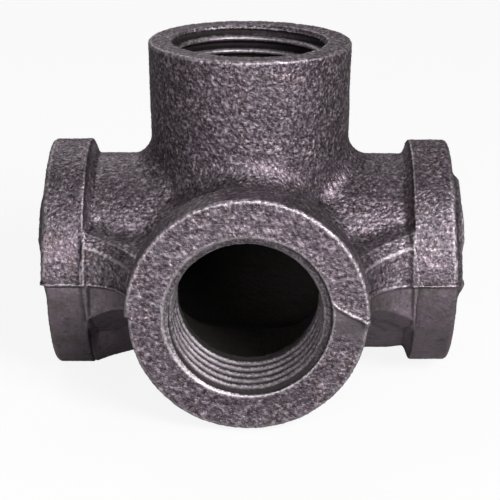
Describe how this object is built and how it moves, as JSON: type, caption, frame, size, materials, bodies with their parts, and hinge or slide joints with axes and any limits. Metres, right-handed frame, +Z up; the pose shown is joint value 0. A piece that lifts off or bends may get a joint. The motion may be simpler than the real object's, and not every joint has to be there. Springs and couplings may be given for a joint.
{
  "type": "banded four-way pipe fitting with top outlet",
  "caption": "Cast iron four-way pipe cross fitting with three banded, internally threaded ports in one plane, corner webs between them and a plain threaded outlet on top.",
  "frame": {"origin": "centre of the footprint: on the surface the three bands stand on, 15.7 mm below and 6.04 mm in front of the point where the axes of all the ports meet", "axes": "+X out of the right port, -Y out of the front port, +Z up and out of the plain top outlet; the banded ports lie in the plane z = 15.7 mm, which is also the casting's parting plane; the closed back faces +Y"},
  "size_m": [0.056, 0.044, 0.0459],
  "materials": {
    "black_iron": "rough as-cast black malleable iron"
  },
  "bodies": {
    "root": {"cross_body": "black_iron"}
  },
  "joints": []
}
